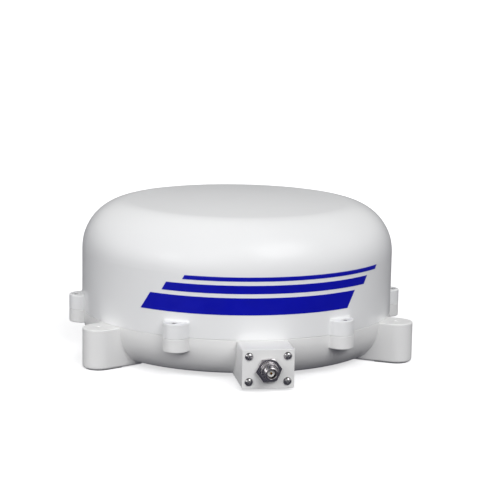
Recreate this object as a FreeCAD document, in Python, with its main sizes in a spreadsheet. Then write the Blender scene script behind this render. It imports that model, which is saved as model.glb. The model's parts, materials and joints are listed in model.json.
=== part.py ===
"""A low-profile dome antenna for a vehicle or a boat, as a parametric assembly.

A white radome closes a bowl-shaped base that stands on three feet. Inside, a motor turns a
turntable about the vertical axis, and a second motor on the turntable tilts a flat patch
antenna. One coaxial jack on the front of the base is the only outside connection.

Frame: millimetres, +Z up, the jack faces -Y. The origin is the centre of the three mounting
holes, in the plane that the feet stand on.
"""

import FreeCAD, Part
import math
import os

import Sketcher
from FreeCAD import Placement, Rotation, Vector

DRIVING = {
    # outer shells
    "dome_radius": 140.0,
    "dome_top": 135.8,
    "dome_wall_top": 90.4,
    "shoulder_radius": 42.8,
    "dome_wall": 3.0,
    "seam_height": 36.1,
    "seam_gap": 0.1,
    "seam_chamfer": 0.35,
    "rim_width": 6.0,
    "rim_depth": 4.5,
    "bowl_wall": 3.5,
    "bowl_bottom": 3.6,
    "bowl_side_bottom": 32.4,
    "bowl_side_radius": 34.0,
    "bowl_corner_radius": 12.0,
    "cavity_corner_radius": 8.0,
    "pad_thickness": 0.5,
    # feet and clamping lugs
    "foot_centre": 151.5,
    "foot_radius": 14.1,
    "foot_flare": 1.0,
    "foot_root": 117.0,
    "foot_top": 35.7,
    "foot_top_rounding": 1.2,
    "foot_bottom_rounding": 2.5,
    "foot_dimple_radius": 2.2,
    "foot_dimple_depth": 0.8,
    "insert_bore": 2.5,
    "insert_radius": 4.2,
    "insert_length": 14.0,
    "lug_centre": 140.9,
    "lug_radius": 11.0,
    "lug_flare": 8.0,
    "lug_top": 49.4,
    "lug_bottom": 24.6,
    "lug_screw_centre": 145.9,
    "lug_counterbore": 3.6,
    "lug_counterbore_depth": 3.8,
    # connector box
    "box_width": 43.6,
    "box_top": 35.5,
    "box_bottom": 2.6,
    "box_face": 169.1,
    "plate_thickness": 2.5,
    "plate_gasket": 0.6,
    "box_wall": 4.0,
    "box_room_half": 12.0,
    "plate_screw_x": 16.0,
    "plate_screw_z": 10.6,
    "plate_screw_head": 3.55,
    "jack_height": 18.8,
    "jack_thread": 5.55,
    "jack_mounting_thread": 6.0,
    "jack_reach": 16.7,
    "jack_collar": 7.2,
    "jack_nut_flats": 19.0,
    # stripes on the wall
    "stripe_thickness": 0.2,
    "stripe_slant": 0.5,
    # turning gear
    "chassis_radius": 112.0,
    "chassis_bottom": 24.0,
    "chassis_thickness": 2.0,
    "chassis_post_circle": 104.0,
    "spindle_radius": 15.0,
    "spindle_top": 37.4,
    "bearing_bottom": 28.6,
    "bearing_width": 7.0,
    "bearing_outer": 21.0,
    "turntable_radius": 108.0,
    "turntable_bottom": 33.0,
    "turntable_top": 36.0,
    "gear_module": 1.25,
    "azimuth_gear_teeth": 96.0,
    "azimuth_pinion_teeth": 16.0,
    "gear_backlash": 0.16,
    "gear_spread": 0.1,
    "azimuth_gear_bottom": 28.0,
    "azimuth_gear_bore": 49.0,
    "motor_side": 35.0,
    "motor_length": 15.0,
    "motor_shaft": 2.5,
    # tilting antenna
    "tilt_height": 86.0,
    "bracket_inside": 92.0,
    "bracket_thickness": 3.0,
    "trunnion_radius": 4.0,
    "running_gap": 0.04,
    "panel_half_length": 85.0,
    "panel_half_height": 42.0,
    "panel_plate": 2.0,
    "panel_back": 4.0,
    "foam_thickness": 6.0,
    "board_thickness": 1.6,
    "patch_thickness": 0.3,
    "tilt_module": 1.0,
    "sector_teeth": 60.0,
    "tilt_pinion_teeth": 15.0,
    "tilt_motor_side": 28.0,
    "tilt_motor_length": 30.0,
    # electronics
    "board_bottom": 11.0,
    "board_half_width": 60.0,
    "board_front": -85.0,
    "board_back": 15.0,
}

doc = FreeCAD.newDocument("dome_antenna")
sheet = doc.addObject("Spreadsheet::Sheet", "Sizes")
for row, (name, number) in enumerate(DRIVING.items(), start=1):
    sheet.set(f"A{row}", name)
    sheet.set(f"B{row}", str(number))
    sheet.setAlias(f"B{row}", name)
doc.recompute()


class Size:
    """A length that knows both its number and the sheet expression that gives it."""

    def __init__(self, number, text):
        self.number = number
        self.text = text

    def join(self, other, sign, number):
        other = as_size(other)
        return Size(number(self.number, other.number), f"({self.text} {sign} {other.text})")

    def __add__(self, other):
        return self.join(other, "+", lambda a, b: a + b)

    def __sub__(self, other):
        return self.join(other, "-", lambda a, b: a - b)

    def __mul__(self, other):
        return self.join(other, "*", lambda a, b: a * b)

    def __truediv__(self, other):
        return self.join(other, "/", lambda a, b: a / b)

    def __radd__(self, other):
        return as_size(other) + self

    def __rsub__(self, other):
        return as_size(other) - self

    def __rmul__(self, other):
        return as_size(other) * self

    def __neg__(self):
        return Size(-self.number, f"(-1 * {self.text})")

    def __float__(self):
        return float(self.number)


def as_size(value):
    return value if isinstance(value, Size) else Size(float(value), f"{float(value):.6f}")


def root(size):
    return Size(math.sqrt(size.number), f"sqrt({size.text})")


class Cells:
    """Gives each driving dimension of the sheet by its alias."""

    def __getattr__(self, name):
        return Size(DRIVING[name], f"Sizes.{name}")


S = Cells()
ZERO = as_size(0.0)
UP = Vector(0, 0, 1)
SEAM_TURN = 30.0
nodes = []

# --------------------------------------------------------------------------------------
# Drawing helpers
# --------------------------------------------------------------------------------------


def make_body(label, keep=True):
    body = doc.addObject("PartDesign::Body", label)
    body.Label = label
    if keep:
        nodes.append(body)
    return body


def make_sketch(body, plane, offset=ZERO):
    """A sketch on one of the body's own origin planes, moved along the plane's normal.
    The normals are +Z for XY_Plane, -Y for XZ_Plane and +X for YZ_Plane."""
    sketch = body.newObject("Sketcher::SketchObject", f"{body.Label}_sketch")
    support = [part for part in body.Origin.OriginFeatures if part.Role == plane][0]
    sketch.AttachmentSupport = [(support, "")]
    sketch.MapMode = "FlatFace"
    sketch.setExpression("AttachmentOffset.Base.z", as_size(offset).text)
    return sketch


def pin_coordinate(sketch, kind, axis, edge, end, value):
    value = as_size(value)
    if abs(value.number) < 1e-9:
        sketch.addConstraint(Sketcher.Constraint("PointOnObject", edge, end, axis))
        return
    if value.number > 0:
        rule = Sketcher.Constraint(kind, -1, 1, edge, end, value.number)
    else:
        value = -value
        rule = Sketcher.Constraint(kind, edge, end, -1, 1, value.number)
    number = sketch.addConstraint(rule)
    sketch.setExpression(f"Constraints[{number}]", value.text)


def pin_point(sketch, edge, end, x, y):
    pin_coordinate(sketch, "DistanceX", -2, edge, end, x)
    pin_coordinate(sketch, "DistanceY", -1, edge, end, y)


def arc_between(start, end, radius):
    """The short arc from start to end. A positive radius turns left on the way."""
    chord = end - start
    half = chord.Length / 2
    rise = math.sqrt(max(radius * radius - half * half, 0.0))
    left = Vector(-chord.y, chord.x, 0).normalize()
    centre = (start + end) * 0.5 + left * math.copysign(rise, radius)
    first = start if radius > 0 else end
    last = end if radius > 0 else start
    angles = [math.atan2(p.y - centre.y, p.x - centre.x) for p in (first, last)]
    if angles[1] < angles[0]:
        angles[1] += 2 * math.pi
    return Part.ArcOfCircle(Part.Circle(centre, UP, abs(radius)), *angles)


def draw_outline(sketch, corners, bends=None):
    """A closed outline through the corners. bends gives the edges that are arcs, each the
    signed radius of the edge that leaves that corner."""
    bends = bends or {}
    count = len(corners)
    points = [Vector(float(x), float(y), 0) for x, y in corners]
    edges = []
    for index in range(count):
        start = points[index]
        end = points[(index + 1) % count]
        if index in bends:
            radius = float(bends[index])
            edge = sketch.addGeometry(arc_between(start, end, radius), False)
            edges.append((edge, 1, 2) if radius > 0 else (edge, 2, 1))
        else:
            edge = sketch.addGeometry(Part.LineSegment(start, end), False)
            edges.append((edge, 1, 2))
    for index, (edge, _, end) in enumerate(edges):
        following, start, _ = edges[(index + 1) % count]
        sketch.addConstraint(Sketcher.Constraint("Coincident", edge, end, following, start))
    for (edge, start, _), (x, y) in zip(edges, corners):
        pin_point(sketch, edge, start, x, y)
    for index, radius in bends.items():
        size = as_size(radius)
        size = size if size.number > 0 else -size
        rule = Sketcher.Constraint("Radius", edges[index][0], size.number)
        number = sketch.addConstraint(rule)
        sketch.setExpression(f"Constraints[{number}]", size.text)


def draw_circle(sketch, x, y, radius):
    radius = as_size(radius)
    centre = Vector(float(x), float(y), 0)
    circle = Part.Circle(centre, UP, radius.number)
    edge = sketch.addGeometry(circle, False)
    number = sketch.addConstraint(Sketcher.Constraint("Radius", edge, radius.number))
    sketch.setExpression(f"Constraints[{number}]", radius.text)
    pin_point(sketch, edge, 3, x, y)


def draw_rectangle(sketch, low_x, low_y, high_x, high_y):
    draw_outline(sketch, [(low_x, low_y), (high_x, low_y), (high_x, high_y), (low_x, high_y)])


def centred(sketch, x, y, half_x, half_y):
    draw_rectangle(sketch, x - half_x, y - half_y, x + half_x, y + half_y)


def revolve(body, corners, bends=None):
    """Turns an outline, with x as the radius, round the vertical axis. The outline stands at
    SEAM_TURN degrees, so the closed surfaces' seams miss the feet and the lugs."""
    sketch = make_sketch(body, "XZ_Plane")
    sketch.AttachmentOffset = Placement(Vector(), Rotation(Vector(0, 1, 0), SEAM_TURN))
    draw_outline(sketch, corners, bends)
    feature = body.newObject("PartDesign::Revolution", f"{body.Label}_turned")
    feature.Profile = sketch
    feature.ReferenceAxis = (sketch, ["V_Axis"])
    feature.Angle = 360
    return feature


def groove(body, corners, bends=None):
    before = settled_volume(body)
    sketch = make_sketch(body, "XZ_Plane")
    sketch.AttachmentOffset = Placement(Vector(), Rotation(Vector(0, 1, 0), SEAM_TURN))
    draw_outline(sketch, corners, bends)
    feature = body.newObject("PartDesign::Groove", f"{body.Label}_groove")
    feature.Profile = sketch
    feature.ReferenceAxis = (sketch, ["V_Axis"])
    feature.Angle = 360
    must_shrink(body, before)
    return feature


def pad(body, plane, low, high, draw):
    """Adds material from low to high along the plane's normal."""
    sketch = make_sketch(body, plane, low)
    draw(sketch)
    feature = body.newObject("PartDesign::Pad", f"{body.Label}_pad")
    feature.Profile = sketch
    feature.setExpression("Length", (as_size(high) - low).text)
    return feature


def pocket(body, plane, low, high, draw):
    """Removes material from low to high along the plane's normal."""
    before = settled_volume(body)
    sketch = make_sketch(body, plane, low)
    draw(sketch)
    feature = body.newObject("PartDesign::Pocket", f"{body.Label}_pocket")
    feature.Profile = sketch
    feature.Reversed = True
    feature.setExpression("Length", (as_size(high) - low).text)
    must_shrink(body, before)
    return feature


def settled_volume(body):
    doc.recompute()
    return body.Shape.Volume


def must_shrink(body, before):
    doc.recompute()
    if body.Shape.Volume > before - 1e-3:
        raise RuntimeError(f"a cut in {body.Label} removed nothing")


def around(body, features, count):
    """Repeats features round the vertical axis."""
    pattern = body.newObject("PartDesign::PolarPattern", f"{body.Label}_around")
    pattern.Originals = features
    axis = [part for part in body.Origin.OriginFeatures if part.Role == "Z_Axis"][0]
    pattern.Axis = (axis, [""])
    pattern.Angle = 360
    pattern.Occurrences = count
    body.Tip = pattern
    doc.recompute()
    return pattern


def soften(body, radius, wanted, kind="Fillet"):
    """Rounds or bevels each edge that wanted(edge) picks."""
    doc.recompute()
    base = body.Tip
    names = []
    for number, edge in enumerate(base.Shape.Edges, start=1):
        if not edge.Degenerated and wanted(edge):
            names.append(f"Edge{number}")
    if not names:
        raise RuntimeError(f"no edge to soften in {body.Label}")
    feature = body.newObject(f"PartDesign::{kind}", f"{body.Label}_{kind.lower()}")
    feature.Base = (base, names)
    feature.Refine = False
    size = "Radius" if kind == "Fillet" else "Size"
    feature.setExpression(size, as_size(radius).text)
    body.Tip = feature
    doc.recompute()
    return feature


def edge_samples(edge):
    return edge.discretize(Number=5)


def at_height(edge, height):
    return all(abs(p.z - float(height)) < 0.01 for p in edge_samples(edge))


def radii(edge):
    return [math.hypot(p.x, p.y) for p in edge_samples(edge)]


def ring(label, inner, outer, low, high):
    """A plain ring, or a disc where inner is zero, round the vertical axis."""
    body = make_body(label)
    revolve(body, [(inner, low), (outer, low), (outer, high), (inner, high)])
    return body


def plate(label, plane, low, high, draw):
    body = make_body(label)
    pad(body, plane, low, high, draw)
    return body


def repeat(label, master, placements):
    """One node of identical separate solids, as links to one master."""
    links = []
    for placement in placements:
        link = doc.addObject("App::Link", f"{label}_copy")
        link.LinkedObject = master
        link.Placement = placement
        links.append(link)
    group = doc.addObject("Part::Compound", label)
    group.Label = label
    group.Links = links
    nodes.append(group)
    return group


def at(x, y, z, rotation=None):
    return Placement(Vector(float(x), float(y), float(z)), rotation or Rotation())


def spot(radius, angle, height, rotation=None):
    turn = math.radians(angle)
    return at(float(radius) * math.cos(turn), float(radius) * math.sin(turn), height, rotation)


FACING_DOWN = Rotation(Vector(1, 0, 0), 180)
FACING_FRONT = Rotation(Vector(1, 0, 0), 90)
FACING_BACK = Rotation(Vector(1, 0, 0), -90)
FACING_RIGHT = Rotation(Vector(0, 1, 0), 90)
FACING_LEFT = Rotation(Vector(0, 1, 0), -90)


def screw_master(label, shank, length, head, head_height, drive="hex"):
    """A screw whose head sits on z = 0 and whose shank hangs below it. A hex drive is in a
    flat head and a cross drive in a domed one."""
    body = make_body(f"{label}_master", keep=False)
    head = as_size(head)
    edge = as_size(head_height) * 0.16
    rise = head_height - edge
    corners = [(0, -as_size(length)), (shank, -as_size(length)), (shank, 0), (head, 0)]
    if drive == "cross":
        dome = (head * head + rise * rise) / (2 * rise)
        revolve(body, corners + [(head, edge), (0, head_height)], {4: dome})
    else:
        revolve(body, corners + [(head, head_height), (0, head_height)])
    deep = as_size(head_height) * 0.4
    if drive == "cross":
        arm = head * 0.42
        slot = head * 0.1

        def draw(sketch):
            corners = [(slot, slot), (arm, slot), (arm, -slot), (slot, -slot)]
            corners += [(slot, -arm), (-slot, -arm), (-slot, -slot), (-arm, -slot)]
            corners += [(-arm, slot), (-slot, slot), (-slot, arm), (slot, arm)]
            draw_outline(sketch, corners)
    else:

        def draw(sketch):
            draw_polygon(sketch, 0, 0, head * 0.45, 6)

    pocket(body, "XY_Plane", deep, head_height, draw)
    return body


def draw_polygon(sketch, x, y, apothem, sides, turn=0.0):
    """A regular polygon with its first flat at the angle turn."""
    reach = as_size(apothem) * (1 / math.cos(math.pi / sides))
    corners = []
    for index in range(sides):
        angle = math.radians(turn) + (2 * index + 1) * math.pi / sides
        corners.append((x + reach * math.cos(angle), y + reach * math.sin(angle)))
    draw_outline(sketch, corners)


def nose_outline(sketch, centre, radius, flare, root_radius):
    """A rounded nose on the +X axis whose straight flanks flare towards the middle, closed
    by an arc about the vertical axis."""
    slope = math.radians(float(flare))
    tangent_x = centre + radius * math.sin(slope)
    tangent_y = radius * math.cos(slope)
    # the flank meets the closing arc where x*x + y*y = root_radius*root_radius
    run = math.tan(slope)
    level = tangent_y + tangent_x * run
    scale = 1 + run * run
    inner_x = (level * run + root(root_radius * root_radius * scale - level * level)) / scale
    inner_y = level - inner_x * run
    corners = [(inner_x, -inner_y), (tangent_x, -tangent_y), (tangent_x, tangent_y)]
    corners += [(inner_x, inner_y)]
    draw_outline(sketch, corners, {1: radius, 3: -root_radius})


def node_feature(label, shape):
    feature = doc.addObject("Part::Feature", label)
    feature.Label = label
    feature.Shape = shape
    feature.Placement = Placement()
    nodes.append(feature)
    return feature


# --------------------------------------------------------------------------------------
# Shells
# --------------------------------------------------------------------------------------


def build_radome():
    body = make_body("radome")
    across = S.dome_radius - S.shoulder_radius
    rise = S.dome_top - S.dome_wall_top
    crown = across * across + rise * rise - S.shoulder_radius * S.shoulder_radius
    crown = crown / (2 * (rise - S.shoulder_radius))
    reach = crown - S.shoulder_radius
    lean_x = across / reach
    lean_z = (reach - rise + S.shoulder_radius) / reach
    crown_inner = crown - S.dome_wall
    shoulder_inner = S.shoulder_radius - S.dome_wall
    centre_z = S.dome_top - crown
    bottom = S.seam_height + S.seam_gap
    rim_top = bottom + S.rim_depth
    inside = S.dome_radius - S.dome_wall
    rim_inside = S.dome_radius - S.rim_width
    step = S.rim_width - S.dome_wall
    corners = [
        (rim_inside, bottom),
        (S.dome_radius - S.seam_chamfer, bottom),
        (S.dome_radius, bottom + S.seam_chamfer),
        (S.dome_radius, S.dome_wall_top),
        (crown * lean_x, centre_z + crown * lean_z),
        (0, S.dome_top),
        (0, S.dome_top - S.dome_wall),
        (crown_inner * lean_x, centre_z + crown_inner * lean_z),
        (inside, S.dome_wall_top),
        (inside, rim_top + step),
        (rim_inside, rim_top),
    ]
    bends = {3: S.shoulder_radius, 4: crown, 6: -crown_inner, 7: -shoulder_inner}
    revolve(body, corners, bends)

    def lug(sketch):
        nose_outline(sketch, S.lug_centre, S.lug_radius, S.lug_flare, S.dome_radius - 1.2)

    def counterbore(sketch):
        draw_circle(sketch, S.lug_screw_centre, 0, S.lug_counterbore)

    def clearance(sketch):
        draw_circle(sketch, S.lug_screw_centre, 0, 2.2)

    lugs = pad(body, "XY_Plane", bottom, S.lug_top, lug)
    around(body, [lugs], 6)
    soften(body, 1.0, lambda edge: lug_rim_edge(edge, S.lug_top))
    soften(body, 2.0, lambda edge: lug_root_edge(edge, S.lug_top))
    soften(body, S.seam_chamfer, lambda edge: lug_rim_edge(edge, bottom), "Chamfer")
    floor = S.lug_top - S.lug_counterbore_depth
    head_hole = pocket(body, "XY_Plane", floor, S.lug_top + 1, counterbore)
    around(body, [head_hole], 6)
    shank_hole = pocket(body, "XY_Plane", bottom - 1, floor, clearance)
    around(body, [shank_hole], 6)


def lug_root_edge(edge, height):
    """The arc where a lug's flat end meets the round wall, and the upright corners."""
    on_wall = all(abs(r - DRIVING["dome_radius"]) < 0.01 for r in radii(edge))
    samples = edge_samples(edge)
    flat = at_height(edge, height) and edge.Length < 60
    highest = max(p.z for p in samples)
    upright = abs(samples[0].z - samples[-1].z) > 8 and highest < DRIVING["lug_top"] + 1
    return on_wall and (flat or upright)


def lug_rim_edge(edge, height):
    """The free outline of a lug's flat end, and not the arc on the wall behind it."""
    reach = radii(edge)
    off_wall = max(reach) > DRIVING["dome_radius"] + 0.3 and max(reach) - min(reach) > 0.05
    return at_height(edge, height) and off_wall


def build_base():
    body = make_body("base_housing")
    side = S.dome_radius
    small = S.bowl_corner_radius
    large = S.bowl_side_radius
    large_x = side - large
    reach = large - small
    drop = S.bowl_side_bottom - S.bowl_bottom - small
    small_x = large_x + root(reach * reach - drop * drop)
    meet_x = large_x + large * (small_x - large_x) / reach
    meet_z = S.bowl_side_bottom - large * drop / reach
    corners = [
        (0, S.bowl_bottom),
        (small_x, S.bowl_bottom),
        (meet_x, meet_z),
        (side, S.bowl_side_bottom),
        (side, S.seam_height - S.seam_chamfer),
        (side - S.seam_chamfer, S.seam_height),
        (0, S.seam_height),
    ]
    revolve(body, corners, {1: small, 2: large})

    def foot(sketch):
        nose_outline(sketch, S.foot_centre, S.foot_radius, S.foot_flare, S.foot_root)

    def lug(sketch):
        nose_outline(sketch, S.lug_centre, S.lug_radius, S.lug_flare, S.dome_radius - 4)

    def box(sketch):
        half = S.box_width / 2
        front = S.plate_thickness - S.box_face
        draw_rectangle(sketch, -half, front, half, -112)

    foot_bottom = S.pad_thickness
    feet = pad(body, "XY_Plane", foot_bottom, S.foot_top, foot)
    spin_first(feet, 90)
    around(body, [feet], 3)
    lugs = pad(body, "XY_Plane", S.lug_bottom, S.seam_height, lug)
    around(body, [lugs], 6)
    pad(body, "XY_Plane", S.box_bottom, S.box_top, box)
    soften(body, S.foot_top_rounding, lambda edge: foot_rim_edge(edge, S.foot_top))
    soften(body, S.foot_bottom_rounding, lambda edge: foot_rim_edge(edge, foot_bottom))
    soften(body, 1.0, lambda edge: lug_rim_edge(edge, S.lug_bottom))
    soften(body, S.seam_chamfer, lambda edge: lug_rim_edge(edge, S.seam_height), "Chamfer")
    soften(body, 1.5, box_edge)

    inside = side - S.bowl_wall
    rim_inside = side - S.rim_width
    floor = S.bowl_bottom + S.bowl_wall + 0.4
    hollow = large - S.bowl_wall
    corner = S.cavity_corner_radius
    hollow_reach = hollow - corner
    hollow_drop = S.bowl_side_bottom - floor - corner
    corner_x = large_x + root(hollow_reach * hollow_reach - hollow_drop * hollow_drop)
    joint_x = large_x + hollow * (corner_x - large_x) / hollow_reach
    joint_z = S.bowl_side_bottom - hollow * hollow_drop / hollow_reach
    rim_bottom = S.seam_height - S.rim_depth
    lead_in = rim_bottom - (inside - rim_inside)
    side_x = large_x + root(hollow * hollow - (S.bowl_side_bottom - lead_in)
                            * (S.bowl_side_bottom - lead_in))
    corners = [
        (0, floor),
        (corner_x, floor),
        (joint_x, joint_z),
        (side_x, lead_in),
        (rim_inside, rim_bottom),
        (rim_inside, S.seam_height + 1),
        (0, S.seam_height + 1),
    ]
    groove(body, corners, {1: corner, 2: hollow})

    seal_in = rim_inside + 2.1
    seal_out = rim_inside + 4.1
    groove(body, [(seal_in, S.seam_height - 1.5), (seal_out, S.seam_height - 1.5),
                  (seal_out, S.seam_height + 1), (seal_in, S.seam_height + 1)])

    def box_room(sketch):
        half = S.box_room_half
        draw_rectangle(sketch, -half, S.box_bottom + S.box_wall, half, S.box_top - S.box_wall)

    pocket(body, "XZ_Plane", 110, S.box_face, box_room)

    def post(sketch):
        draw_circle(sketch, S.chassis_post_circle, 0, 5)

    posts = pad(body, "XY_Plane", floor - 1, S.chassis_bottom, post)
    spin_first(posts, 45)
    around(body, [posts], 4)
    # threaded holes, each as wide as its screw's thread
    drill(body, S.seam_height - 9, S.seam_height + 1, S.lug_screw_centre, 2.0, 6, 0)
    drill(body, foot_bottom - 1, foot_bottom + S.insert_length, S.foot_centre,
          S.insert_radius, 3, 90)
    drill(body, S.chassis_bottom - 8, S.chassis_bottom + 1, S.chassis_post_circle, 1.5, 4, 45)
    drill(body, S.foot_top - S.foot_dimple_depth, S.foot_top + 1, S.foot_centre,
          S.foot_dimple_radius, 3, 90)

    def vent_hole(sketch):
        draw_circle(sketch, -45, -85, 4.5)

    pocket(body, "XY_Plane", 0, floor + 1, vent_hole)

    def plate_screws(sketch):
        for x in (-S.plate_screw_x, S.plate_screw_x):
            for z in (-S.plate_screw_z, S.plate_screw_z):
                draw_circle(sketch, x, plate_middle() + z, 1.75)

    deep = S.box_face - S.plate_thickness
    pocket(body, "XZ_Plane", deep - 9, deep + 1, plate_screws)

    def board_posts(sketch):
        for x, y in board_corners():
            draw_circle(sketch, x, y, 1.5)

    pocket(body, "XY_Plane", floor - 2.5, floor + 1, board_posts)


def plate_middle():
    return (S.box_top + S.box_bottom) / 2


def board_corners():
    inset = 5
    for x in (inset - S.board_half_width, S.board_half_width - inset):
        for y in (S.board_front + inset, S.board_back - inset):
            yield x, y


def spin_first(feature, angle):
    """Turns a feature's sketch round the vertical axis, before it is repeated."""
    sketch = feature.Profile[0]
    offset = sketch.AttachmentOffset
    offset.Rotation = Rotation(UP, angle)
    sketch.AttachmentOffset = offset
    doc.recompute()


def drill(body, low, high, circle, radius, count, first):
    """A ring of equal holes round the vertical axis."""

    def draw(sketch):
        draw_circle(sketch, circle, 0, radius)
        offset = sketch.AttachmentOffset
        offset.Rotation = Rotation(UP, first)
        sketch.AttachmentOffset = offset

    hole = pocket(body, "XY_Plane", low, high, draw)
    around(body, [hole], count)


def foot_rim_edge(edge, height):
    """The free outline of a foot's flat end."""
    off_bowl = max(radii(edge)) > DRIVING["dome_radius"] + 10
    return at_height(edge, height) and off_bowl and not box_side(edge)


def box_side(edge):
    samples = edge_samples(edge)
    half = DRIVING["box_width"] / 2 + 0.1
    return all(abs(p.x) < half and p.y < -100 for p in samples)


def box_edge(edge):
    """The long edges of the connector box, but not the ones round its mouth."""
    samples = edge_samples(edge)
    mouth = DRIVING["plate_thickness"] - DRIVING["box_face"]
    along = abs(samples[0].y - samples[-1].y) > 12
    corner = all(abs(abs(p.x) - DRIVING["box_width"] / 2) < 0.01 for p in samples)
    level = at_height(edge, S.box_top) or at_height(edge, S.box_bottom)
    return box_side(edge) and along and corner and level and samples[0].y >= mouth - 0.1


def build_shell_fittings():
    rim_inside = S.dome_radius - S.rim_width
    bottom = S.seam_height + S.seam_gap
    ring("rim_gasket", rim_inside + 2.15, rim_inside + 4.05, S.seam_height - 1.5, bottom)

    screw = screw_master("radome_screw", 2.0, 14.0, 3.3, 3.2)
    floor = S.lug_top - S.lug_counterbore_depth
    places = [spot(S.lug_screw_centre, 60 * turn, floor) for turn in range(6)]
    repeat("radome_screws", screw, places)

    insert = make_body("foot_insert_master", keep=False)
    top = S.pad_thickness + S.insert_length
    revolve(insert, [(S.insert_bore, 0), (S.insert_radius, 0), (S.insert_radius, top),
                     (S.insert_bore, top)])
    feet = (90, 210, 330)
    repeat("foot_inserts", insert, [spot(S.foot_centre, angle, 0) for angle in feet])

    foot_pad = make_body("foot_pad_master", keep=False)

    def hole(sketch):
        draw_circle(sketch, 0, 0, S.insert_radius + 0.1)

    pad(foot_pad, "XY_Plane", 0, S.pad_thickness, pad_outline)
    pocket(foot_pad, "XY_Plane", 0, S.pad_thickness, hole)
    places = []
    for angle in feet:
        places.append(spot(S.foot_centre, angle, 0, Rotation(UP, angle)))
    repeat("foot_pads", foot_pad, places)

    vent = make_body("pressure_vent")
    floor = S.bowl_bottom
    cap_bottom = floor - 1.4
    revolve(vent, [(0, cap_bottom), (6.0, cap_bottom), (7.0, cap_bottom + 0.8), (7.0, floor),
                   (4.45, floor), (4.45, floor + 5.5), (0, floor + 5.5)])
    vent.Placement = at(-45, -85, 0)


def pad_outline(sketch):
    """The foot's own outline, drawn in by its bottom rounding and cut short, about the
    screw's axis."""
    radius = S.foot_radius - S.foot_bottom_rounding
    slope = math.radians(DRIVING["foot_flare"])
    back = as_size(-16.0)
    tangent_x = radius * math.sin(slope)
    tangent_y = radius * math.cos(slope)
    inner_y = tangent_y + (tangent_x - back) * math.tan(slope)
    corners = [(back, -inner_y), (tangent_x, -tangent_y), (tangent_x, tangent_y)]
    corners += [(back, inner_y)]
    draw_outline(sketch, corners, {1: radius})


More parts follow.
